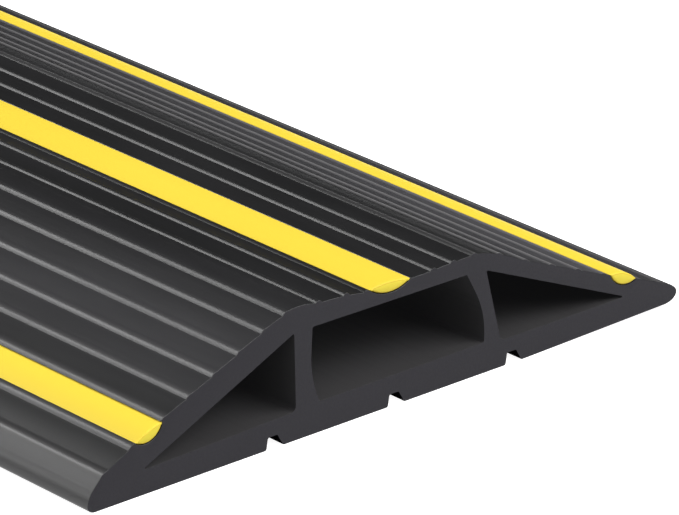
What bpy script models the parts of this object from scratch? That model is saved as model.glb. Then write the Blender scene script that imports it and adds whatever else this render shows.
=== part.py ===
# Floor cord cover: one extruded length with a fluted, ramped top, three cord channels,
# three flexing notches in its flat underside and three inlaid coloured stripes.
# Metres, +Z up. X runs across the cover and Y along it. The origin is the centre of
# the underside. The section is drawn in millimetres as (x, z) and made metres in build().
import bpy
import bmesh
from math import atan2, cos, hypot, pi, radians, sin, sqrt

MM = 0.001

# Driving dimensions
LENGTH = 1000.0                  # a length it is sold in
HALF_WIDTH = 41.5
MESH_GAP = 0.3                   # between a stripe and its groove

# Line through the ridge tips, from the left ramp over the crown to the right ramp
TIP_LINE = (
    (-39.35, 3.95), (-35.6, 5.95), (-31.4, 7.85), (-24.7, 10.75), (-15.0, 14.9), (-12.6, 15.2),
    (-10.4, 14.95), (-3.9, 14.25), (2.7, 14.1), (11.85, 14.25), (14.9, 13.35), (18.7, 11.6),
    (29.9, 6.95), (39.0, 3.3),
)

# Runs of ridges: the first tip, the pitch, how many, and the height of a ridge. Where a
# run meets a stripe, its last ridge is the lip of the groove.
RIDGE_RUNS = (
    (-39.35, 3.75, 2, 0.22),     # left toe
    (-31.3, 3.37, 5, 0.24),      # left ramp
    (-14.9, 3.37, 1, 0.24),      # left shoulder
    (-10.6, 3.35, 3, 0.26),      # left side of the crown
    (2.8, 2.8, 3, 0.25),         # right side of the crown
    (11.7, 3.3, 1, 0.1),         # right shoulder
    (15.0, 3.87, 5, 0.11),       # right ramp
    (35.75, 3.25, 2, 0.06),      # right toe
)
RIDGE_HALF_WIDTH = 0.45
RIDGE_STEPS = (-1.0, -0.5, 0.0, 0.5, 1.0)    # points of a ridge, in half widths from its tip
FLUTE_STEPS = 6
FLUTE_BULGE = 0.03               # the flutes between the ridges are barely rounded outwards
SHOULDER_BULGE = 0.1             # and the wide one over the left shoulder more so

# Stripes: the two edges of the yellow face, the depth below it and the rise of its dome
STRIPES = {
    "left_stripe": {"a": (-35.12, 6.02), "b": (-31.84, 7.3), "depth": 1.0, "dome": 0.28},
    "centre_stripe": {"a": (-3.4, 14.03), "b": (2.3, 13.9), "depth": 1.0, "dome": 0.35},
    "right_stripe": {"a": (30.98, 6.44), "b": (35.25, 4.76), "depth": 0.95, "dome": 0.3},
}
STRIPE_STEPS = 14
GROOVE_STEPS = 18
LIP_MARGIN = 0.04                # least distance in x from a lip's tip to its groove

# Toe rounding at the two outer edges: where the ramp ends, the height of the outermost
# point and where the flat underside begins
LEFT_TOE = {"top": (-41.15, 2.05), "tip_z": 1.35, "foot": -40.4}
RIGHT_TOE = {"top": (40.45, 2.62), "tip_z": 1.45, "foot": 39.6}
TOE_FOOT_STEPS = 7
TOE_TOP_STEPS = 5

# Notches in the underside, where the cover flexes
NOTCH_CENTRES = (-16.5, 0.35, 17.2)
NOTCH_MOUTH = 2.3
NOTCH_ROOF = 1.3
NOTCH_DEPTH = 1.4
NOTCH_ROUND = 0.28

# Channels: corner points, each with its corner radius
LEFT_CHANNEL = ((-34.4, 2.78, 0.12), (-13.6, 3.3, 0.6), (-13.8, 12.2, 0.15))
CENTRE_CHANNEL = (
    (-10.35, 3.5, 0.4), (12.85, 3.55, 0.3), (13.1, 6.9, 10.5), (10.35, 12.05, 0.25),
    (-11.3, 12.2, 0.25), (-11.6, 6.6, 12.0),
)
RIGHT_CHANNEL = ((33.7, 3.05, 0.12), (13.1, 11.85, 0.15), (15.3, 3.1, 0.7))

MATERIALS = {
    "black_rubber": {"colour": (0.042, 0.041, 0.047, 1.0), "roughness": 0.48},
    "yellow_rubber": {"colour": (0.93, 0.75, 0.05, 1.0), "roughness": 0.42},
}


def clear_scene():
    for obj in list(bpy.data.objects):
        bpy.data.objects.remove(obj, do_unlink=True)


def make_material(name):
    spec = MATERIALS[name]
    mat = bpy.data.materials.new(name)
    mat.use_nodes = True
    shader = mat.node_tree.nodes["Principled BSDF"]
    shader.inputs["Base Color"].default_value = spec["colour"]
    shader.inputs["Roughness"].default_value = spec["roughness"]
    shader.inputs["Metallic"].default_value = 0.0
    mat.diffuse_color = spec["colour"]
    return mat


def tip_height(x):
    """Height of the line through the ridge tips, smooth between its points."""
    line = TIP_LINE
    i = 0
    while i < len(line) - 2 and x > line[i + 1][0]:
        i += 1
    x0, z0 = line[i]
    x1, z1 = line[i + 1]
    chord = (z1 - z0) / (x1 - x0)
    before = chord
    after = chord
    if i > 0:
        before = (z1 - line[i - 1][1]) / (x1 - line[i - 1][0])
    if i < len(line) - 2:
        after = (line[i + 2][1] - z0) / (line[i + 2][0] - x0)
    t = (x - x0) / (x1 - x0)
    bend_in = (before - chord) * (x1 - x0)
    bend_out = (after - chord) * (x1 - x0)
    return z0 + chord * (x - x0) + bend_in * t * (1 - t) ** 2 - bend_out * t * t * (1 - t)


def ridge_tips(run):
    first, pitch, count, _ = run
    return [first + pitch * i for i in range(count)]


def ridge_points(x, height):
    """A small rounded ridge with its tip at x."""
    points = []
    for step in RIDGE_STEPS:
        dx = step * RIDGE_HALF_WIDTH
        points.append((x + dx, tip_height(x + dx) - height * step * step))
    return points


def flute_points(x0, x1, height0, height1, bulge):
    """The flute between the feet of the ridges at x0 and x1, each with its own height."""
    start = x0 + RIDGE_HALF_WIDTH
    end = x1 - RIDGE_HALF_WIDTH
    points = []
    for i in range(1, FLUTE_STEPS):
        t = i / FLUTE_STEPS
        x = start + (end - start) * t
        drop = height0 + (height1 - height0) * t
        points.append((x, tip_height(x) - drop + bulge * 4 * t * (1 - t)))
    return points


def run_points(run, lip_first, lip_last):
    """Ridges and flutes of one run. A lip keeps only the half of its ridge away from the groove."""
    tips = ridge_tips(run)
    height = run[3]
    points = ridge_points(tips[0], height)
    for x0, x1 in zip(tips, tips[1:]):
        points += flute_points(x0, x1, height, height, FLUTE_BULGE) + ridge_points(x1, height)
    half_ridge = len(RIDGE_STEPS) // 2
    if lip_first:
        points = points[half_ridge:]
    if lip_last:
        points = points[:-half_ridge]
    return points


def between_runs(run, following, bulge):
    """The flute from the last ridge of one run to the first ridge of the next."""
    return flute_points(ridge_tips(run)[-1], following[0], run[3], following[3], bulge)


def stripe_circle(stripe):
    """Centre and radius of the stripe's rounded underside, and the angles of its two edges."""
    (xa, za), (xb, zb) = stripe["a"], stripe["b"]
    half = hypot(xb - xa, zb - za) / 2
    radius = (half ** 2 + stripe["depth"] ** 2) / (2 * stripe["depth"])
    along = ((xb - xa) / (2 * half), (zb - za) / (2 * half))
    rise = radius - stripe["depth"]
    cx = (xa + xb) / 2 - along[1] * rise
    cz = (za + zb) / 2 + along[0] * rise
    start = atan2(za - cz, xa - cx)
    end = atan2(zb - cz, xb - cx)
    return cx, cz, radius, start, end


def stripe_section(stripe):
    """Lens of the stripe: rounded underside and slightly domed face."""
    cx, cz, radius, start, end = stripe_circle(stripe)
    points = []
    for i in range(STRIPE_STEPS + 1):
        angle = start + (end - start) * i / STRIPE_STEPS
        points.append((cx + radius * cos(angle), cz + radius * sin(angle)))
    (xa, za), (xb, zb) = stripe["a"], stripe["b"]
    width = hypot(xb - xa, zb - za)
    normal = (-(zb - za) / width, (xb - xa) / width)
    for i in range(STRIPE_STEPS - 1, 0, -1):
        t = i / STRIPE_STEPS
        lift = stripe["dome"] * 4 * t * (1 - t)
        points.append((xa + (xb - xa) * t + normal[0] * lift, za + (zb - za) * t + normal[1] * lift))
    return points


def groove_points(stripe, lip_a, lip_b):
    """Arc of the groove, clear of the stripe, where it lies between the tips of the two lips."""
    cx, cz, radius, start, end = stripe_circle(stripe)
    radius += MESH_GAP
    points = []
    for i in range(GROOVE_STEPS + 1):
        angle = start + (end - start) * i / GROOVE_STEPS
        x = cx + radius * cos(angle)
        z = cz + radius * sin(angle)
        if lip_a[0] + LIP_MARGIN < x < lip_b[0] - LIP_MARGIN and z < tip_height(x):
            points.append((x, z))
    return points


def arc_to(p0, corner, p1, steps):
    """Quarter-like curve from p0 to p1 that leaves and arrives along the lines to the corner."""
    points = []
    for i in range(steps + 1):
        t = i / steps * pi / 2
        u = 1 - sin(t)
        v = 1 - cos(t)
        x = corner[0] + (p0[0] - corner[0]) * u + (p1[0] - corner[0]) * v
        z = corner[1] + (p0[1] - corner[1]) * u + (p1[1] - corner[1]) * v
        points.append((x, z))
    return points


def toe_points(toe, side):
    """Rounded toe, from the underside up to the ramp."""
    edge = side * HALF_WIDTH
    tip = (edge, toe["tip_z"])
    lower = arc_to((toe["foot"], 0.0), (edge, 0.0), tip, TOE_FOOT_STEPS)
    top = toe["top"]
    x0, z0 = TIP_LINE[0] if side < 0 else TIP_LINE[-1]
    slope = (z0 - top[1]) / (x0 - top[0])
    corner = (edge, top[1] + slope * (edge - top[0]))
    upper = arc_to(tip, corner, top, TOE_TOP_STEPS)
    return lower + upper[1:]


def rounded(corners, steps=5):
    """Closed outline of (x, z, radius) corners, each one rounded by its own radius."""
    points = []
    count = len(corners)
    for i, (x, z, radius) in enumerate(corners):
        xp, zp, _ = corners[i - 1]
        xn, zn, _ = corners[(i + 1) % count]
        length_in = hypot(xp - x, zp - z)
        length_out = hypot(xn - x, zn - z)
        d_in = ((xp - x) / length_in, (zp - z) / length_in)
        d_out = ((xn - x) / length_out, (zn - z) / length_out)
        cosine = d_in[0] * d_out[0] + d_in[1] * d_out[1]
        half_angle = atan2(sqrt(1 - cosine), sqrt(1 + cosine))
        setback = radius / (sin(half_angle) / cos(half_angle))
        centre_distance = radius / sin(half_angle)
        bisector = (d_in[0] + d_out[0], d_in[1] + d_out[1])
        size = hypot(*bisector)
        cx = x + bisector[0] / size * centre_distance
        cz = z + bisector[1] / size * centre_distance
        start = atan2(z + d_in[1] * setback - cz, x + d_in[0] * setback - cx)
        end = atan2(z + d_out[1] * setback - cz, x + d_out[0] * setback - cx)
        sweep = (end - start + pi) % (2 * pi) - pi
        for k in range(steps + 1):
            angle = start + sweep * k / steps
            points.append((cx + radius * cos(angle), cz + radius * sin(angle)))
    return points


def notch_points(centre):
    """Open outline of one notch, from its right foot to its left foot."""
    mouth = NOTCH_MOUTH / 2
    roof = NOTCH_ROOF / 2
    steps = 3
    corners = [
        (centre + mouth, 0.0, NOTCH_ROUND),
        (centre + roof, NOTCH_DEPTH, NOTCH_ROUND),
        (centre - roof, NOTCH_DEPTH, NOTCH_ROUND),
        (centre - mouth, 0.0, NOTCH_ROUND),
    ]
    # Three far corners only close the outline, so that the four near ones can be rounded
    away = NOTCH_MOUTH
    far = [
        (centre - away, 0.0, NOTCH_ROUND),
        (centre, -away, NOTCH_ROUND),
        (centre + away, 0.0, NOTCH_ROUND),
    ]
    closed = rounded(corners + far, steps)
    return closed[:len(corners) * (steps + 1)]


def body_outline():
    """Outer outline of the black section: left toe, fluted top, right toe, underside."""
    left, centre, right = (STRIPES[name] for name in ("left_stripe", "centre_stripe", "right_stripe"))
    left_toe, left_ramp, left_shoulder, left_crown = RIDGE_RUNS[:4]
    right_crown, right_shoulder, right_ramp, right_toe = RIDGE_RUNS[4:]
    points = toe_points(LEFT_TOE, -1)
    points += run_points(left_toe, False, True)
    up_to_shoulder = run_points(left_ramp, True, False)
    points += groove_points(left, points[-1], up_to_shoulder[0])
    points += up_to_shoulder
    points += between_runs(left_ramp, left_shoulder, FLUTE_BULGE)
    points += run_points(left_shoulder, False, False)
    points += between_runs(left_shoulder, left_crown, SHOULDER_BULGE)
    points += run_points(left_crown, False, True)
    over_crown = run_points(right_crown, True, False)
    points += groove_points(centre, points[-1], over_crown[0])
    points += over_crown
    points += between_runs(right_crown, right_shoulder, 0.0)
    points += run_points(right_shoulder, False, False)
    points += between_runs(right_shoulder, right_ramp, 0.0)
    points += run_points(right_ramp, False, True)
    down_to_toe = run_points(right_toe, True, False)
    points += groove_points(right, points[-1], down_to_toe[0])
    points += down_to_toe
    points += reversed(toe_points(RIGHT_TOE, 1))
    for centre_x in reversed(NOTCH_CENTRES):
        points += notch_points(centre_x)
    return points


def build(name, outlines, mat):
    """Extrude a section, given as an outer outline and any holes, along the whole length."""
    bm = bmesh.new()
    edges = []
    for outline in outlines:
        verts = [bm.verts.new((x * MM, -LENGTH / 2 * MM, z * MM)) for x, z in outline]
        for v0, v1 in zip(verts, verts[1:] + verts[:1]):
            edges.append(bm.edges.new((v0, v1)))
    filled = bmesh.ops.triangle_fill(bm, use_beauty=True, use_dissolve=False, edges=edges)
    faces = [item for item in filled["geom"] if isinstance(item, bmesh.types.BMFace)]
    extruded = bmesh.ops.extrude_face_region(bm, geom=faces)
    moved = [item for item in extruded["geom"] if isinstance(item, bmesh.types.BMVert)]
    bmesh.ops.translate(bm, verts=moved, vec=(0.0, LENGTH * MM, 0.0))
    bmesh.ops.recalc_face_normals(bm, faces=bm.faces)
    mesh = bpy.data.meshes.new(name)
    bm.to_mesh(mesh)
    bm.free()
    mesh.materials.append(mat)
    mesh.shade_smooth()
    mesh.set_sharp_from_angle(angle=radians(35))
    obj = bpy.data.objects.new(name, mesh)
    bpy.context.scene.collection.objects.link(obj)
    return obj


def main():
    clear_scene()
    black = make_material("black_rubber")
    yellow = make_material("yellow_rubber")
    holes = [rounded(channel) for channel in (LEFT_CHANNEL, CENTRE_CHANNEL, RIGHT_CHANNEL)]
    build("cover_body", [body_outline()] + holes, black)
    for name, stripe in STRIPES.items():
        build(name, [stripe_section(stripe)], yellow)


main()
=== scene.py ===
from math import atan2, cos, hypot, pi, radians, sin, sqrt

import bpy
import bmesh
from mathutils import Matrix, Vector


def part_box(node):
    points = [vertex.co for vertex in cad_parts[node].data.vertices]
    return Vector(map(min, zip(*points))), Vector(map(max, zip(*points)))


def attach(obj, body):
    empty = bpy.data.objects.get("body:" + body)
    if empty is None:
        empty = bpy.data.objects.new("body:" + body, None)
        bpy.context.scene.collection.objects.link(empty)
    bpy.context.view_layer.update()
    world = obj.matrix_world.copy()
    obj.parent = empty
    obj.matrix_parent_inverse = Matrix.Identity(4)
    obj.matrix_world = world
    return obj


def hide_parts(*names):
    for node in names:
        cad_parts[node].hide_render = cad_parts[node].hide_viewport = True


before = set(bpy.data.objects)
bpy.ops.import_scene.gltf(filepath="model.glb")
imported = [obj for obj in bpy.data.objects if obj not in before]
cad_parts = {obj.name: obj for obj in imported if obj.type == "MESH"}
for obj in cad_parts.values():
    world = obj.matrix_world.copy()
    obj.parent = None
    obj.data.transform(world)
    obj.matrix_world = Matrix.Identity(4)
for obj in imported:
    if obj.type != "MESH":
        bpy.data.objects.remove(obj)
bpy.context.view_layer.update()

# Floor cord cover: a black rubber extrusion with a fluted top, three cord channels and three
# yellow stripes. The section is drawn in millimetres as (x, z), and the cover runs along Y.
mm = 0.001


# Outline of the black section

coverBody = {
    "halfWidth": 41.5,
    # line through the ridge tips, over the left ramp, the crown and the right ramp
    "tipLine": (
        (-39.35, 3.95), (-35.6, 5.95), (-31.4, 7.85), (-24.7, 10.75), (-15.0, 14.9),
        (-12.6, 15.2), (-10.4, 14.95), (-6.6, 14.7), (-3.9, 14.25), (2.7, 14.1), (11.85, 14.25),
        (14.9, 13.35), (18.7, 11.6), (29.9, 6.95), (39.0, 3.3),
    ),
    # runs of ridges: first tip, pitch, how many, height, share of the height that the right side drops
    "leftToeRidges": (-39.35, 3.75, 2, 0.22, 0.42),
    "leftRampRidges": (-31.3, 3.37, 5, 0.2, 0.3),
    "leftShoulderRidge": (-14.9, 3.37, 1, 0.22, 0.5),
    "leftCrownRidges": (-10.4, 3.85, 2, 0.28, 1.0),
    "grooveLipRidge": (-3.75, 3.35, 1, 0.19, 1.0),
    "crownLip": (2.4, 0.18),     # right lip of the centre stripe, which has no ridge, and its drop
    "rightCrownRidges": (5.6, 2.8, 2, 0.25, 1.0),
    "rightShoulderRidge": (11.35, 3.65, 1, 0.19, 1.0),
    "rightRampRidges": (15.0, 3.87, 5, 0.15, 1.0),
    "rightToeRidges": (35.75, 3.25, 2, 0.06, 1.0),
    "ridgeHalfWidth": 0.45,
    "ridgeSteps": 10,            # points from foot to foot of a ridge
    "fluteSteps": 10,
    "fluteBulge": 0.03,
    "shoulderBulge": 0.03,
    "leftToe": {"top": (-40.75, 2.47), "tipHeight": 0.75, "foot": (-40.4, 0.0)},
    # the right wing lifts a little off the floor
    "rightToe": {"top": (40.45, 2.62), "tipHeight": 1.55, "foot": (39.6, 0.45)},
    "toeSteps": 12,
    "notchCentres": (-16.5, 0.35, 17.2),
    "notchMouth": 2.3,
    "notchRoof": 1.3,
    "notchDepth": 1.4,
    "notchLean": -0.3,           # the roof of a notch lies a little left of its mouth
    "notchRound": 0.28,
    "notchSteps": 6,
    # corners of the channels, each with its radius
    "leftChannel": ((-34.4, 2.78, 0.12), (-13.6, 3.3, 0.6), (-13.8, 12.2, 0.15)),
    "centreChannel": (
        (-10.35, 3.5, 0.4), (12.85, 3.55, 0.3), (13.1, 6.9, 10.5), (10.35, 12.05, 0.25),
        (-11.3, 12.2, 0.25), (-11.6, 6.6, 12.0),
    ),
    "rightChannel": ((33.7, 3.05, 0.12), (13.1, 11.85, 0.15), (15.3, 3.1, 0.7)),
    "cornerSteps": 10,
    "grooveGap": 0.05,           # hairline between a stripe and its groove
    "lipMargin": 0.02,
    "lipUndercut": 0.35,         # the upper lip of a groove may hang over its stripe by this much
    "rimRadius": 0.035,          # round of the cut edges along the top
    "sharpRim": 0.2,             # share of it left in the channels and under the cover
    "underShare": 0.5,           # share of the thickness that counts as the underside, at most
    "underMargin": 0.1,          # up to this far above the roof of the notches
    "tipLightReach": 0.7,            # how far from a ridge's tip its painted highlight reaches
    "tipLightDepth": 0.56,           # and how far down
}

# Stripes: the two edges of the yellow face, the depth below it, the rise of its dome, and a scale on its
# yellow that paints in light and shade
stripes = {
    "leftStripe": {
        "node": "left_stripe", "a": (-35.12, 6.02), "b": (-31.55, 7.42), "depth": 1.0, "dome": 0.2,
        "paintedLightScale": 1.05,
    },
    "centreStripe": {
        "node": "centre_stripe", "a": (-3.4, 14.12), "b": (2.3, 13.9), "depth": 0.9, "dome": 0.35,
        "paintedLightScale": 0.95,
    },
    "rightStripe": {
        "node": "right_stripe", "a": (31.4, 6.2), "b": (35.3, 4.76), "depth": 0.9, "dome": 0.5,
        "paintedLightScale": 0.965,
    },
}
stripeRim = 0.2                  # the softer stock rounds over more where it is cut
stripeSteps = 28
grooveSteps = 48


def tipHeight(x):
    # height of the line through the ridge tips, smooth between its points
    line = coverBody["tipLine"]
    i = 0
    while i < len(line) - 2 and x > line[i + 1][0]:
        i += 1
    x0, z0 = line[i]
    x1, z1 = line[i + 1]
    chord = (z1 - z0) / (x1 - x0)
    before = chord
    after = chord
    if i > 0:
        before = (z1 - line[i - 1][1]) / (x1 - line[i - 1][0])
    if i < len(line) - 2:
        after = (line[i + 2][1] - z0) / (line[i + 2][0] - x0)
    t = (x - x0) / (x1 - x0)
    bendIn = (before - chord) * (x1 - x0)
    bendOut = (after - chord) * (x1 - x0)
    return z0 + chord * (x - x0) + bendIn * t * (1 - t) ** 2 - bendOut * t * t * (1 - t)


def ridgeTips(run):
    first, pitch, count = run[:3]
    return [first + pitch * i for i in range(count)]


def ridgePoints(x, height, rightShare):
    points = []
    steps = coverBody["ridgeSteps"]
    for i in range(steps + 1):
        step = 2 * i / steps - 1
        dx = step * coverBody["ridgeHalfWidth"]
        drop = height * step * step * (rightShare if step > 0 else 1.0)
        points.append((x + dx, tipHeight(x + dx) - drop))
    return points


def flutePoints(x0, x1, height0, height1, bulge):
    # the flute between the feet of the ridges at x0 and x1
    start = x0 + coverBody["ridgeHalfWidth"]
    end = x1 - coverBody["ridgeHalfWidth"]
    points = []
    for i in range(1, coverBody["fluteSteps"]):
        t = i / coverBody["fluteSteps"]
        x = start + (end - start) * t
        drop = height0 + (height1 - height0) * t
        points.append((x, tipHeight(x) - drop + bulge * 4 * t * (1 - t)))
    return points


def runPoints(run):
    # ridges and flutes of one run, from the foot of its first ridge to the foot of its last
    tips = ridgeTips(run)
    height, rightShare = run[3:]
    points = ridgePoints(tips[0], height, rightShare)
    for x0, x1 in zip(tips, tips[1:]):
        points += flutePoints(x0, x1, height * rightShare, height, coverBody["fluteBulge"])
        points += ridgePoints(x1, height, rightShare)
    return points


def betweenRuns(run, following, bulge):
    return flutePoints(ridgeTips(run)[-1], following[0], run[3] * run[4], following[3], bulge)


def lipPoints(lip, following):
    # plain surface from the lip of a groove to the foot of the ridge that follows
    x, drop = lip
    start = x - coverBody["ridgeHalfWidth"]
    return [(x, tipHeight(x) - drop)] + flutePoints(start, following[0], drop, following[3], 0.0)


def tipLightAt(x, z):
    # share of the painted highlight: 1 on a ridge's tip, falling to 0 down its sides
    if z < tipHeight(x) - coverBody["tipLightDepth"]:
        return 0.0
    runs = [coverBody[key] for key in coverBody if key.endswith(("Ridges", "Ridge"))]
    nearest = min(abs(x - tip) for run in runs for tip in ridgeTips(run))
    return max(0.0, 1 - nearest / coverBody["tipLightReach"])


def stripeCircle(stripe):
    # centre and radius of a stripe's rounded underside, and the angles of its two edges
    (xa, za), (xb, zb) = stripe["a"], stripe["b"]
    half = hypot(xb - xa, zb - za) / 2
    radius = (half ** 2 + stripe["depth"] ** 2) / (2 * stripe["depth"])
    along = ((xb - xa) / (2 * half), (zb - za) / (2 * half))
    rise = radius - stripe["depth"]
    cx = (xa + xb) / 2 - along[1] * rise
    cz = (za + zb) / 2 + along[0] * rise
    return cx, cz, radius, atan2(za - cz, xa - cx), atan2(zb - cz, xb - cx)


def stripeOutline(stripe):
    cx, cz, radius, start, end = stripeCircle(stripe)
    points = []
    for i in range(stripeSteps + 1):
        angle = start + (end - start) * i / stripeSteps
        points.append((cx + radius * cos(angle), cz + radius * sin(angle)))
    (xa, za), (xb, zb) = stripe["a"], stripe["b"]
    width = hypot(xb - xa, zb - za)
    normal = (-(zb - za) / width, (xb - xa) / width)
    for i in range(stripeSteps - 1, 0, -1):
        t = i / stripeSteps
        lift = stripe["dome"] * 4 * t * (1 - t)
        x = xa + (xb - xa) * t + normal[0] * lift
        z = za + (zb - za) * t + normal[1] * lift
        points.append((x, z))
    return points


def groovePoints(stripe, lipA, lipB):
    # arc of the groove, a hairline clear of the stripe, between the feet of the two lips
    cx, cz, radius, start, end = stripeCircle(stripe)
    radius += coverBody["grooveGap"]
    margin = coverBody["lipMargin"]
    undercut = coverBody["lipUndercut"]
    points = []
    for i in range(grooveSteps + 1):
        angle = start + (end - start) * i / grooveSteps
        x = cx + radius * cos(angle)
        z = cz + radius * sin(angle)
        if lipA[0] + margin < x < lipB[0] + undercut and z < tipHeight(x):
            points.append((x, z))
    return points


def arcTo(p0, corner, p1, steps):
    # a quarter-like curve that leaves and arrives along the lines to the corner
    points = []
    for i in range(steps + 1):
        t = i / steps * pi / 2
        u = 1 - sin(t)
        v = 1 - cos(t)
        x = corner[0] + (p0[0] - corner[0]) * u + (p1[0] - corner[0]) * v
        z = corner[1] + (p0[1] - corner[1]) * u + (p1[1] - corner[1]) * v
        points.append((x, z))
    return points


def toePoints(toe, side):
    edge = side * coverBody["halfWidth"]
    tip = (edge, toe["tipHeight"])
    lower = arcTo(toe["foot"], (edge, toe["foot"][1]), tip, coverBody["toeSteps"])
    top = toe["top"]
    x0, z0 = coverBody["tipLine"][0 if side < 0 else -1]
    slope = (z0 - top[1]) / (x0 - top[0])
    corner = (edge, top[1] + slope * (edge - top[0]))
    return lower + arcTo(tip, corner, top, coverBody["toeSteps"])[1:]


def roundedOutline(corners, steps):
    # closed outline of (x, z, radius) corners
    points = []
    count = len(corners)
    for i, (x, z, radius) in enumerate(corners):
        xp, zp, _ = corners[i - 1]
        xn, zn, _ = corners[(i + 1) % count]
        lengthIn = hypot(xp - x, zp - z)
        lengthOut = hypot(xn - x, zn - z)
        dirIn = ((xp - x) / lengthIn, (zp - z) / lengthIn)
        dirOut = ((xn - x) / lengthOut, (zn - z) / lengthOut)
        cosine = dirIn[0] * dirOut[0] + dirIn[1] * dirOut[1]
        halfAngle = atan2(sqrt(1 - cosine), sqrt(1 + cosine))
        setback = radius / (sin(halfAngle) / cos(halfAngle))
        bisector = (dirIn[0] + dirOut[0], dirIn[1] + dirOut[1])
        reach = radius / sin(halfAngle) / hypot(*bisector)
        cx = x + bisector[0] * reach
        cz = z + bisector[1] * reach
        start = atan2(z + dirIn[1] * setback - cz, x + dirIn[0] * setback - cx)
        end = atan2(z + dirOut[1] * setback - cz, x + dirOut[0] * setback - cx)
        sweep = (end - start + pi) % (2 * pi) - pi
        for k in range(steps + 1):
            angle = start + sweep * k / steps
            points.append((cx + radius * cos(angle), cz + radius * sin(angle)))
    return points


def notchPoints(centre):
    # one flexing notch, from its right foot to its left foot
    mouth = coverBody["notchMouth"] / 2
    roof = coverBody["notchRoof"] / 2
    top = centre + coverBody["notchLean"]
    depth = coverBody["notchDepth"]
    bend = coverBody["notchRound"]
    steps = coverBody["notchSteps"]
    corners = [
        (centre + mouth, 0.0, bend), (top + roof, depth, bend),
        (top - roof, depth, bend), (centre - mouth, 0.0, bend),
    ]
    away = 2 * mouth         # three far corners only close the outline
    far = [(centre - away, 0.0, bend), (centre, -away, bend), (centre + away, 0.0, bend)]
    return roundedOutline(corners + far, steps)[:len(corners) * (steps + 1)]


def bodyOutline():
    body = coverBody
    left, centre, right = stripes.values()
    points = toePoints(body["leftToe"], -1)
    points += runPoints(body["leftToeRidges"])
    upToShoulder = runPoints(body["leftRampRidges"])
    points += groovePoints(left, points[-1], upToShoulder[0])
    points += upToShoulder
    points += betweenRuns(body["leftRampRidges"], body["leftShoulderRidge"], body["fluteBulge"])
    points += runPoints(body["leftShoulderRidge"])
    points += betweenRuns(body["leftShoulderRidge"], body["leftCrownRidges"], body["shoulderBulge"])
    points += runPoints(body["leftCrownRidges"])
    points += betweenRuns(body["leftCrownRidges"], body["grooveLipRidge"], body["fluteBulge"])
    points += runPoints(body["grooveLipRidge"])
    overCrown = lipPoints(body["crownLip"], body["rightCrownRidges"])
    overCrown += runPoints(body["rightCrownRidges"])
    points += groovePoints(centre, points[-1], overCrown[0])
    points += overCrown
    points += betweenRuns(body["rightCrownRidges"], body["rightShoulderRidge"], 0.0)
    points += runPoints(body["rightShoulderRidge"])
    points += betweenRuns(body["rightShoulderRidge"], body["rightRampRidges"], 0.0)
    points += runPoints(body["rightRampRidges"])
    downToToe = runPoints(body["rightToeRidges"])
    points += groovePoints(right, points[-1], downToToe[0])
    points += downToToe
    points += reversed(toePoints(body["rightToe"], 1))
    for centreX in reversed(body["notchCentres"]):
        points += notchPoints(centreX)
    return points


# The section becomes a wire, with a vector at each point that leads into the material

def signedArea(outline):
    following = outline[1:] + outline[:1]
    return sum(x0 * z1 - x1 * z0 for (x0, z0), (x1, z1) in zip(outline, following)) / 2


def inwardVectors(outline, isHole):
    turn = 1 if signedArea(outline) > 0 else -1
    if isHole:
        turn = -turn
    vectors = []
    for i, (x, z) in enumerate(outline):
        xp, zp = outline[i - 1]
        xn, zn = outline[(i + 1) % len(outline)]
        before = Vector((x - xp, z - zp)).normalized()
        after = Vector((xn - x, zn - z)).normalized()
        along = (before + after).normalized()
        vectors.append((-along.y * turn, along.x * turn, 0.0))
    return vectors


def sharpBelow(x):
    # height under which the outline belongs to the underside
    overNotches = coverBody["notchDepth"] + coverBody["underMargin"]
    return min(overNotches, coverBody["underShare"] * tipHeight(x))


def sectionWire(name, outlines, isRidged):
    # closed wire of an outline and its holes, with what the tree and the materials read at each point
    mesh = bpy.data.meshes.new(name)
    verts = []
    edges = []
    vectors = []
    tipLight = []
    for k, outline in enumerate(outlines):
        first = len(verts)
        count = len(outline)
        verts += [(x, z, 0.0) for x, z in outline]
        edges += [(first + i, first + (i + 1) % count) for i in range(count)]
        inward = inwardVectors(outline, k > 0)
        if isRidged:
            shares = [coverBody["sharpRim"] if k > 0 or z < sharpBelow(x) else 1.0 for x, z in outline]
            inward = [Vector(v) * share for v, share in zip(inward, shares)]
        vectors += inward
        tipLight += [tipLightAt(x, z) if isRidged and k == 0 else 0.0 for x, z in outline]
    mesh.from_pydata(verts, edges, [])
    inward = mesh.attributes.new("inward", "FLOAT_VECTOR", "POINT")
    inward.data.foreach_set("vector", [value for vector in vectors for value in vector])
    outerCount = len(outlines[0])
    inner = mesh.attributes.new("inner", "FLOAT", "POINT")
    inner.data.foreach_set("value", [0.0] * outerCount + [1.0] * (len(verts) - outerCount))
    # the share of painted highlight at each point, which the black skin reads
    paintedTip = mesh.attributes.new("tipLight", "FLOAT", "POINT")
    paintedTip.data.foreach_set("value", tipLight)
    obj = bpy.data.objects.new(name, mesh)
    bpy.context.scene.collection.objects.link(obj)
    return obj


# Geometry Nodes: the section is drawn along the cover, with a small round on both cut rims

extrusion = {
    "Length": (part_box("cover_body")[1].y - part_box("cover_body")[0].y) / mm,
    "Rim Steps": 3,
    "Path Points": 48,
    "Waviness": 0.07,
}
wave = {
    "scale": (0.02, 0.02, 0.011),    # across, up and along the cover
    "detail": 1.0,
    "fullAbove": 15.0,               # height at which the wave is at its full size
}
weldDistance = 0.002
sharpAngle = 24


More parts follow.
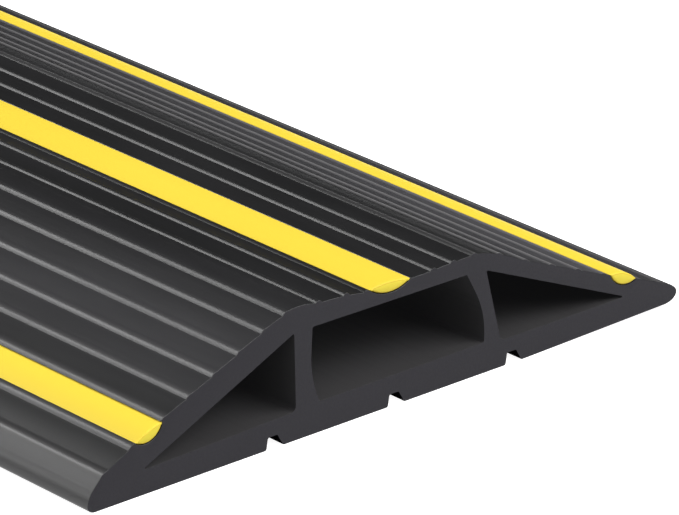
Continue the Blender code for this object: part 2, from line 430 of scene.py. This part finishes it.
class NodeMaker:
    # small helper that adds nodes to a tree and links them
    def __init__(self, tree):
        self.tree = tree

    def add(self, kind, inputs=None, **settings):
        node = self.tree.nodes.new(kind)
        for key, value in settings.items():
            setattr(node, key, value)
        for key, value in (inputs or {}).items():
            socket = node.inputs[key]
            if isinstance(value, bpy.types.NodeSocket):
                self.tree.links.new(value, socket)
            else:
                socket.default_value = value
        return node

    def math(self, operation, a, b=0.0, clamp=False):
        node = self.add("ShaderNodeMath", {0: a, 1: b}, operation=operation, use_clamp=clamp)
        return node.outputs[0]

    def vector(self, operation, a, b):
        key = "Scale" if operation == "SCALE" else 1
        return self.add("ShaderNodeVectorMath", {0: a, key: b}, operation=operation).outputs[0]


def extrusionTree():
    tree = bpy.data.node_groups.new("drawnExtrusion", "GeometryNodeTree")
    face = tree.interface
    face.new_socket("Geometry", in_out="INPUT", socket_type="NodeSocketGeometry")
    for name in ("Length", "Rim Radius", "Waviness"):
        face.new_socket(name, in_out="INPUT", socket_type="NodeSocketFloat")
    for name in ("Rim Steps", "Path Points"):
        face.new_socket(name, in_out="INPUT", socket_type="NodeSocketInt")
    for name in ("Skin", "Channel Skin", "Cut Face"):
        face.new_socket(name, in_out="INPUT", socket_type="NodeSocketMaterial")
    face.new_socket("Geometry", in_out="OUTPUT", socket_type="NodeSocketGeometry")

    make = NodeMaker(tree)
    given = make.add("NodeGroupInput").outputs
    profile = make.add("GeometryNodeMeshToCurve", {"Mesh": given["Geometry"]}).outputs[0]
    inward = make.add("GeometryNodeInputNamedAttribute", {"Name": "inward"},
                      data_type="FLOAT_VECTOR").outputs[0]

    # depth of each path point: a short round and a narrow band at each end, even steps between
    last = make.math("SUBTRACT", given["Path Points"], 1.0)
    index = make.add("GeometryNodeInputIndex").outputs[0]
    rimSteps = given["Rim Steps"]
    front = make.math("DIVIDE", index, rimSteps, clamp=True)
    back = make.math("DIVIDE", make.math("SUBTRACT", last, index), rimSteps, clamp=True)
    inner = make.math("ADD", rimSteps, 1.0)
    even = make.math("DIVIDE", make.math("SUBTRACT", index, inner),
                     make.math("SUBTRACT", last, make.math("MULTIPLY", inner, 2.0)), clamp=True)
    frontBand = make.math("SUBTRACT", index, rimSteps, clamp=True)
    beforeBack = make.math("SUBTRACT", make.math("SUBTRACT", last, rimSteps), index, clamp=True)
    backBand = make.math("SUBTRACT", 1.0, beforeBack)
    frontAngle = make.math("MULTIPLY", front, pi / 2)
    backAngle = make.math("MULTIPLY", back, pi / 2)
    radius = given["Rim Radius"]
    frontRound = make.math("SUBTRACT", 1.0, make.math("COSINE", frontAngle))
    frontDepth = make.math("MULTIPLY", radius, frontRound)
    backDepth = make.math("MULTIPLY", radius, make.math("COSINE", backAngle))
    plainLength = make.math("SUBTRACT", given["Length"], make.math("MULTIPLY", radius, 4.0))
    straight = make.math("MULTIPLY", plainLength, even)
    bands = make.math("MULTIPLY", make.math("ADD", frontBand, backBand), radius)
    depth = make.math("ADD", make.math("ADD", frontDepth, bands), make.math("ADD", straight, backDepth))
    frontInset = make.math("SUBTRACT", 1.0, make.math("SINE", frontAngle))
    backInset = make.math("SUBTRACT", 1.0, make.math("SINE", backAngle))
    inset = make.math("MULTIPLY", radius, make.math("ADD", frontInset, backInset))

    line = make.add("GeometryNodeMeshLine", {"Count": given["Path Points"]}).outputs[0]
    place = make.add("ShaderNodeCombineXYZ", {"Z": depth}).outputs[0]
    line = make.add("GeometryNodeSetPosition", {"Geometry": line, "Position": place}).outputs[0]
    line = make.add("GeometryNodeStoreNamedAttribute",
                    {"Geometry": line, "Name": "inset", "Value": inset},
                    data_type="FLOAT", domain="POINT").outputs[0]
    path = make.add("GeometryNodeMeshToCurve", {"Mesh": line}).outputs[0]
    walls = make.add("GeometryNodeCurveToMesh", {"Curve": path, "Profile Curve": profile}).outputs[0]
    storedInset = make.add("GeometryNodeInputNamedAttribute", {"Name": "inset"},
                           data_type="FLOAT").outputs[0]
    walls = make.add("GeometryNodeSetPosition",
                     {"Geometry": walls, "Offset": make.vector("SCALE", inward, storedInset)}).outputs[0]

    # cut faces
    rim = make.add("GeometryNodeSetPosition",
                   {"Geometry": profile, "Offset": make.vector("SCALE", inward, radius)}).outputs[0]
    cap = make.add("GeometryNodeFillCurve", {"Curve": rim}, mode="TRIANGLES").outputs[0]
    cap = make.add("GeometryNodeStoreNamedAttribute",
                   {"Geometry": cap, "Name": "cutFace", "Value": True},
                   data_type="BOOLEAN", domain="FACE").outputs[0]
    farPlace = make.add("ShaderNodeCombineXYZ", {"Z": given["Length"]}).outputs[0]
    farCap = make.add("GeometryNodeTransform", {"Geometry": cap, "Translation": farPlace}).outputs[0]
    joined = make.add("GeometryNodeJoinGeometry")
    for part in (farCap, cap, walls):
        tree.links.new(part, joined.inputs[0])
    whole = make.add("GeometryNodeMergeByDistance",
                     {"Geometry": joined.outputs[0], "Distance": weldDistance}).outputs[0]

    # soft stock is never quite straight: a slow wave that fades out towards the underside
    position = make.add("GeometryNodeInputPosition").outputs[0]
    stretched = make.vector("MULTIPLY", position, wave["scale"])
    noise = make.add("ShaderNodeTexNoise",
                     {"Vector": stretched, "Scale": 1.0, "Detail": wave["detail"]}).outputs["Fac"]
    axes = make.add("ShaderNodeSeparateXYZ", {"Vector": position}).outputs
    rise = make.math("DIVIDE", axes["Y"], wave["fullAbove"], clamp=True)
    downwards = make.math("MULTIPLY", given["Waviness"], -1.0)
    sink = make.math("MULTIPLY", make.math("MULTIPLY", noise, rise), downwards)
    drop = make.add("ShaderNodeCombineXYZ", {"Y": sink}).outputs[0]
    whole = make.add("GeometryNodeSetPosition", {"Geometry": whole, "Offset": drop}).outputs[0]

    # lay it along Y, in metres, with its middle at the origin
    halfBack = make.math("MULTIPLY", given["Length"], 0.5 * mm)
    shift = make.add("ShaderNodeCombineXYZ", {"Y": halfBack}).outputs[0]
    laid = make.add("GeometryNodeTransform", {
        "Geometry": whole, "Translation": shift, "Rotation": (pi / 2, 0.0, 0.0), "Scale": (mm, mm, mm),
    }).outputs[0]
    # skin, channels and cut faces
    solid = make.add("GeometryNodeRealizeInstances", {"Geometry": laid}).outputs[0]
    skinned = make.add("GeometryNodeSetMaterial",
                       {"Geometry": solid, "Material": given["Skin"]}).outputs[0]
    isInner = make.add("GeometryNodeInputNamedAttribute", {"Name": "inner"}, data_type="FLOAT").outputs[0]
    skinned = make.add("GeometryNodeSetMaterial", {
        "Geometry": skinned, "Selection": make.math("GREATER_THAN", isInner, 0.5),
        "Material": given["Channel Skin"],
    }).outputs[0]
    isCut = make.add("GeometryNodeInputNamedAttribute", {"Name": "cutFace"},
                     data_type="BOOLEAN").outputs[0]
    done = make.add("GeometryNodeSetMaterial",
                    {"Geometry": skinned, "Selection": isCut, "Material": given["Cut Face"]}).outputs[0]
    out = make.add("NodeGroupOutput", {"Geometry": done})
    out.is_active_output = True
    return tree


def drawExtrusion(name, outlines, tree, skin, channelSkin, cutFace, rimRadius, isRidged=False):
    # one piece: its section as a wire, the tree on it, and the result as a plain mesh
    wire = sectionWire(name + "Section", outlines, isRidged)
    modifier = wire.modifiers.new("drawn", "NODES")
    modifier.node_group = tree
    sockets = {item.name: item.identifier for item in tree.interface.items_tree if item.in_out == "INPUT"}
    for key, value in {**extrusion, "Rim Radius": rimRadius}.items():
        modifier[sockets[key]] = value
    modifier[sockets["Skin"]] = skin
    modifier[sockets["Channel Skin"]] = channelSkin
    modifier[sockets["Cut Face"]] = cutFace
    depsgraph = bpy.context.evaluated_depsgraph_get()
    mesh = bpy.data.meshes.new_from_object(wire.evaluated_get(depsgraph))
    mesh.name = name
    wire.modifiers.remove(modifier)
    bpy.data.objects.remove(wire, do_unlink=True)
    bm = bmesh.new()
    bm.from_mesh(mesh)
    bmesh.ops.recalc_face_normals(bm, faces=bm.faces)
    bm.to_mesh(mesh)
    bm.free()
    for attribute in ("inward", "inner", "inset", "cutFace"):
        if attribute in mesh.attributes:
            mesh.attributes.remove(mesh.attributes[attribute])
    mesh.shade_smooth()
    mesh.set_sharp_from_angle(angle=radians(sharpAngle))
    obj = bpy.data.objects.new(name, mesh)
    bpy.context.scene.collection.objects.link(obj)
    print("drawn", name, len(mesh.polygons), "faces")
    return obj


# Materials

noiseRoughness = 0.6
noiseRange = (0.3, 0.7)          # nearly all of a noise's values lie between these

# each noise: stretch, scale, detail
dieMarks = {
    "lines": ((1.0, 0.006, 1.0), 2200.0, 5.0),
    "grain": ((1.0, 0.7, 1.0), 5200.0, 3.0),
    "patches": ((1.0, 0.25, 1.0), 90.0, 4.0),
    "lineRough": 0.03,           # how much the lines change the roughness
    "relief": 0.00004,
}
bladeMarks = {
    "dragStretch": (0.05, 1.0, 1.0),
    "dragScale": 1500.0,
    "dragDetail": 3.0,
    "grain": ((1.0, 1.0, 1.0), 3800.0, 4.0),
    "clouds": ((1.0, 1.0, 1.0), 160.0, 3.0),
    "relief": 0.00005,
}

# Painted light on the black skin, and where its gloss is dulled. The left ramp is painted lighter
# part way down, and the right ramp carries a painted sheen, strongest at the front end. A place is
# a pair, where the mark starts and where it is full, in metres across the cover.
paintedLightAndGloss = {
    "ramp": (-0.011, -0.034),
    "toe": (-0.0225, -0.0305),   # the painted light fades out again here, darker towards the left stripe and the toe
    "farRamp": (0.014, 0.03),
    "farToe": (0.031, 0.035),
    "farToeWithoutSheen": 0.6,          # how much of the far ramp's painted sheen the far toe lacks
    "farToeTipsUnlit": 0.8,       # and how much of that share its painted tip highlights lack too
    "alongEnd": (-0.5, -0.36),   # this one is along the cover, from the front end
    "endSheen": (1.3, 0.2),       # strength of the far ramp's painted sheen at the two places, strongest at the front end
    "patchDust": (-0.04, 0.08),  # least and most that the random patches add to the painted light
    "scuffAndTipLight": (0.0105, 0.0145),
    "scuffDull": 0.95,           # share of the gloss that a scuffed place loses
    "scuffRough": 0.3,
    "underside": (0.0017, 0.0014),     # height below which the underside is dull
    "betweenToes": (0.0392, 0.0385),
}


def newMaterial(name):
    mat = bpy.data.materials.new(name)
    mat.use_nodes = True
    shader = mat.node_tree.nodes["Principled BSDF"]
    return mat, shader, NodeMaker(mat.node_tree)


def noiseAt(make, place, stretch, scale, detail):
    mapped = make.add("ShaderNodeMapping", {"Vector": place, "Scale": stretch}).outputs[0]
    return make.add("ShaderNodeTexNoise", {"Vector": mapped, "Scale": scale, "Detail": detail,
                                           "Roughness": noiseRoughness}).outputs["Fac"]


def ranged(make, value, source, target=(0.0, 1.0)):
    node = make.add("ShaderNodeMapRange", {"Value": value, "From Min": source[0], "From Max": source[1],
                                           "To Min": target[0], "To Max": target[1]})
    return node.outputs[0]


def spread(make, value, low, high):
    return ranged(make, value, noiseRange, (low, high))


def blendColours(make, factor, dark, light):
    node = make.add("ShaderNodeMix", data_type="RGBA")
    make.tree.links.new(factor, node.inputs[0])
    node.inputs[6].default_value = (*dark, 1.0)
    node.inputs[7].default_value = (*light, 1.0)
    return node.outputs[2]


def extrudedSkin(name, look):
    # skin left by the die: fine lines along the cover, a faint grain and patches of gloss
    mat, shader, make = newMaterial(name)
    place = make.add("ShaderNodeTexCoord").outputs["Object"]
    dieLines = noiseAt(make, place, *dieMarks["lines"])
    grain = noiseAt(make, place, *dieMarks["grain"])
    patches = noiseAt(make, place, *dieMarks["patches"])
    lightMarks = paintedLightAndGloss
    shade = patches
    if look["paintedRampLight"]:
        # painted light on the ramps: lighter part way down the left one, a painted sheen on the right
        # one, which is also scuffed dull
        axes = make.add("ShaderNodeSeparateXYZ", {"Vector": place}).outputs
        across = axes["X"]
        ramp = ranged(make, across, lightMarks["ramp"])
        toe = ranged(make, across, lightMarks["toe"])
        farRamp = ranged(make, across, lightMarks["farRamp"])
        farToe = ranged(make, across, lightMarks["farToe"], (0.0, lightMarks["farToeWithoutSheen"]))
        fromEnd = ranged(make, axes["Y"], lightMarks["alongEnd"], lightMarks["endSheen"])
        nearRampLight = make.math("MULTIPLY", ramp, make.math("SUBTRACT", 1.0, toe))
        farRampSheen = make.math("MULTIPLY", make.math("SUBTRACT", farRamp, farToe), fromEnd)
        paintedLightAndSheen = make.math("MULTIPLY", make.math("ADD", nearRampLight, farRampSheen), look["paintedRampLight"])
        shade = make.math("ADD", paintedLightAndSheen, spread(make, patches, *lightMarks["patchDust"]), clamp=True)
        # the underside between the toes is dull, and so is the scuffed ramp
        scuffAndTipLight = ranged(make, across, lightMarks["scuffAndTipLight"])
        under = ranged(make, axes["Z"], lightMarks["underside"])
        inside = ranged(make, make.math("ABSOLUTE", across), lightMarks["betweenToes"])
        dull = make.math("MAXIMUM", make.math("MULTIPLY", under, inside),
                         make.math("MULTIPLY", scuffAndTipLight, lightMarks["scuffDull"]))
        gloss = make.math("MULTIPLY", make.math("SUBTRACT", 1.0, dull), look["specular"])
        make.tree.links.new(gloss, shader.inputs["Specular IOR Level"])
    colour = blendColours(make, shade, look["dark"], look["light"])
    rough = make.math("ADD", spread(make, patches, look["roughLow"], look["roughHigh"]),
                      spread(make, dieLines, -dieMarks["lineRough"], dieMarks["lineRough"]))
    if look["paintedRampLight"]:
        # painted highlight: the ridge tips are lightened to a pale grey, a little on the left ramp and
        # fully on the right side
        tips = make.add("ShaderNodeAttribute", attribute_name="tipLight").outputs["Fac"]
        farTips = make.math("SUBTRACT", scuffAndTipLight, make.math("MULTIPLY", farToe, lightMarks["farToeTipsUnlit"]))
        tipLightShare = make.math("ADD", make.math("MULTIPLY", ramp, look["nearTipLight"]),
                        make.math("MULTIPLY", farTips, look["farTipLight"]))
        tipLightMix = make.add("ShaderNodeMix", {0: make.math("MULTIPLY", tips, tipLightShare), 6: colour,
                                                7: (*look["paintedTip"], 1.0)}, data_type="RGBA")
        colour = tipLightMix.outputs[2]
        rough = make.math("ADD", rough, make.math("MULTIPLY", scuffAndTipLight, lightMarks["scuffRough"]))
    height = make.math("ADD", make.math("MULTIPLY", dieLines, look["lineShare"]), grain)
    bump = make.add("ShaderNodeBump", {"Height": height, "Strength": look["bump"],
                                       "Distance": dieMarks["relief"]})
    make.tree.links.new(colour, shader.inputs["Base Color"])
    make.tree.links.new(rough, shader.inputs["Roughness"])
    make.tree.links.new(bump.outputs[0], shader.inputs["Normal"])
    shader.inputs["Specular IOR Level"].default_value = look["specular"]
    return mat


def cutSurface(name, look):
    # cut with a blade: faint slanting drag marks over a matt, slightly open grain
    mat, shader, make = newMaterial(name)
    place = make.add("ShaderNodeTexCoord").outputs["Object"]
    slant = (0.0, radians(look["slant"]), 0.0)
    turned = make.add("ShaderNodeMapping", {"Vector": place, "Rotation": slant,
                                            "Scale": bladeMarks["dragStretch"]}).outputs[0]
    drag = make.add("ShaderNodeTexNoise", {"Vector": turned, "Scale": bladeMarks["dragScale"],
                                           "Detail": bladeMarks["dragDetail"]}).outputs["Fac"]
    grain = noiseAt(make, place, *bladeMarks["grain"])
    clouds = noiseAt(make, place, *bladeMarks["clouds"])
    colour = blendColours(make, clouds, look["dark"], look["light"])
    height = make.math("ADD", make.math("MULTIPLY", drag, look["dragShare"]), grain)
    bump = make.add("ShaderNodeBump", {"Height": height, "Strength": look["bump"],
                                       "Distance": bladeMarks["relief"]})
    rough = spread(make, grain, look["roughLow"], look["roughHigh"])
    make.tree.links.new(colour, shader.inputs["Base Color"])
    make.tree.links.new(rough, shader.inputs["Roughness"])
    make.tree.links.new(bump.outputs[0], shader.inputs["Normal"])
    shader.inputs["Specular IOR Level"].default_value = look["specular"]
    return mat


# its light tone carries the painted light on the ramps, and its pale grey the painted highlights on the
# ridge tips
blackSkin = extrudedSkin("blackExtrudedRubber", {
    "dark": (0.004, 0.004, 0.0044), "light": (0.046, 0.045, 0.05), "paintedRampLight": 0.62, "lineShare": 0.8,
    "paintedTip": (0.12, 0.118, 0.12), "nearTipLight": 0.3, "farTipLight": 1.0,
    "bump": 0.04, "roughLow": 0.35, "roughHigh": 0.41, "specular": 0.5,
})
# the channel skin is a lighter black than the crown's: painted light inside the channels
blackChannel = extrudedSkin("blackChannelRubber", {
    "dark": (0.024, 0.023, 0.024), "light": (0.029, 0.028, 0.029), "paintedRampLight": 0.0, "lineShare": 0.8,
    "bump": 0.08, "roughLow": 0.6, "roughHigh": 0.7, "specular": 0.25,
})
# stands in for light that has bounced too often in the channels to be traced
channelGlow = {"colour": (0.95, 0.95, 1.0, 1.0), "strength": 0.004}
channelSockets = blackChannel.node_tree.nodes["Principled BSDF"].inputs
channelSockets["Emission Color"].default_value = channelGlow["colour"]
channelSockets["Emission Strength"].default_value = channelGlow["strength"]
blackCut = cutSurface("blackCutRubber", {
    "dark": (0.0092, 0.0084, 0.0118), "light": (0.0128, 0.0119, 0.0158), "slant": 24.0, "dragShare": 0.7,
    "bump": 0.25, "roughLow": 0.58, "roughHigh": 0.7, "specular": 0.25,
})
yellowLook = {
    "dark": (0.66, 0.493, 0.037), "light": (0.675, 0.509, 0.041), "paintedRampLight": 0.0, "lineShare": 0.8,
    "bump": 0.03, "roughLow": 0.5, "roughHigh": 0.6, "specular": 0.2,
}
yellowCut = cutSurface("yellowCutRubber", {
    "dark": (0.72, 0.59, 0.042), "light": (0.77, 0.63, 0.046), "slant": 24.0, "dragShare": 0.7,
    "bump": 0.3, "roughLow": 0.55, "roughHigh": 0.7, "specular": 0.3,
})
print("materials made")


# Pieces

tree = extrusionTree()
channels = [roundedOutline(coverBody[key], coverBody["cornerSteps"])
            for key in ("leftChannel", "centreChannel", "rightChannel")]
body = drawExtrusion("coverBody", [bodyOutline()] + channels, tree, blackSkin, blackChannel, blackCut,
                     coverBody["rimRadius"], isRidged=True)
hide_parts("cover_body")
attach(body, "root")
for name, stripe in stripes.items():
    # each stripe's yellow is scaled to paint in the light and shade that falls on it: the left one
    # lighter, the other two darker
    tones = {key: [value * stripe["paintedLightScale"] for value in yellowLook[key]] for key in ("dark", "light")}
    yellowSkin = extrudedSkin(name + "Rubber", {**yellowLook, **tones})
    piece = drawExtrusion(name, [stripeOutline(stripe)], tree, yellowSkin, yellowSkin, yellowCut,
                          stripeRim)
    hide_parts(stripe["node"])
    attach(piece, "root")
print("pieces made")


# Floor, lights and camera

studioFloor = {
    "half": 6.0,
    "colour": (0.5, 0.5, 0.5, 1.0),
    "roughness": 0.9,
    "glowColour": (1.0, 1.0, 1.0, 1.0),
    "glow": 0.95,
}


def flatFloor():
    half = studioFloor["half"]
    corners = [(-half, -half, 0), (half, -half, 0), (half, half, 0), (-half, half, 0)]
    mesh = bpy.data.meshes.new("studioFloor")
    mesh.from_pydata(corners, [], [(0, 1, 2, 3)])
    mat, shader, _ = newMaterial("paleFloor")
    shader.inputs["Base Color"].default_value = studioFloor["colour"]
    shader.inputs["Roughness"].default_value = studioFloor["roughness"]
    shader.inputs["Specular IOR Level"].default_value = 0.0
    shader.inputs["Emission Color"].default_value = studioFloor["glowColour"]
    shader.inputs["Emission Strength"].default_value = studioFloor["glow"]
    mesh.materials.append(mat)
    floor = bpy.data.objects.new("studioFloor", mesh)
    floor.visible_diffuse = False    # keeps its glare off the rubber
    bpy.context.scene.collection.objects.link(floor)


def softbox(name, place, target, size, radiance):
    # a rectangular area light, its power worked out from how bright its face is
    light = bpy.data.lights.new(name, "AREA")
    light.shape = "RECTANGLE"
    light.size, light.size_y = size
    light.energy = radiance * pi * size[0] * size[1]
    obj = bpy.data.objects.new(name, light)
    obj.location = place
    direction = Vector(target) - Vector(place)
    obj.rotation_euler = direction.to_track_quat("-Z", "Y").to_euler()
    obj.visible_camera = False
    bpy.context.scene.collection.objects.link(obj)


def aimed(azimuth, elevation, distance, about):
    # a place seen from another one: azimuth from +Y towards +X
    a, e = radians(azimuth), radians(elevation)
    return Vector(about) + distance * Vector((sin(a) * cos(e), cos(a) * cos(e), sin(e)))


ceiling = {"place": (0.05, -1.0, 1.7), "target": (0.0, -0.6, 0.0), "size": (2.8, 2.4), "radiance": 1.7}

# panels turned to the front end: azimuth, elevation, distance, size, radiance
frontEnd = (0.0, -0.45, 0.01)
panels = {
    "frontPanel": (145, 38, 1.6, (1.6, 1.0), 7.0),
    "leftPanel": (-100, 7, 1.5, (0.9, 0.35), 3.0),
    "backLeftPanel": (-22, 37, 2.0, (0.7, 0.7), 9.6),     # draws the light lines on the ridges
    "lowLeftPanel": (-42, 17, 2.0, (0.6, 0.8), 5.2),
    "backPanel": (8, 43, 2.0, (1.2, 0.8), 0.12),
}
air = {"colour": (1.0, 1.0, 1.0, 1.0), "strength": 0.06}


def studioWorld():
    world = bpy.data.worlds.new("studio")
    world.use_nodes = True
    background = world.node_tree.nodes["Background"].inputs
    background["Color"].default_value = air["colour"]
    background["Strength"].default_value = air["strength"]
    bpy.context.scene.world = world


flatFloor()
softbox("ceilingPanel", ceiling["place"], ceiling["target"], ceiling["size"], ceiling["radiance"])
for name, (azimuth, elevation, distance, size, radiance) in panels.items():
    softbox(name, aimed(azimuth, elevation, distance, frontEnd), frontEnd, size, radiance)
studioWorld()

photoCamera = {
    "place": (-0.389307, -0.934820, 0.258901),
    "azimuth": -41.2786,         # of the camera, seen from the cover, from -Y towards -X
    "elevation": 22.5259,
    "lens": 321.19,
    "sensor": 36.0,
    "clip": (0.01, 50.0),
}


def makeCamera():
    a = radians(photoCamera["azimuth"])
    e = radians(photoCamera["elevation"])
    back = Vector((sin(a) * cos(e), -cos(a) * cos(e), sin(e)))
    right = Vector((cos(a), sin(a), 0.0))
    up = back.cross(right)
    data = bpy.data.cameras.new("photoCamera")
    data.lens = photoCamera["lens"]
    data.sensor_width = photoCamera["sensor"]
    data.clip_start, data.clip_end = photoCamera["clip"]
    obj = bpy.data.objects.new("photoCamera", data)
    turn = Matrix((right, up, back)).transposed()
    obj.matrix_world = Matrix.Translation(photoCamera["place"]) @ turn.to_4x4()
    bpy.context.scene.collection.objects.link(obj)
    bpy.context.scene.camera = obj


makeCamera()
bpy.context.scene.view_settings.view_transform = "Standard"
print("floor, lights and camera made")
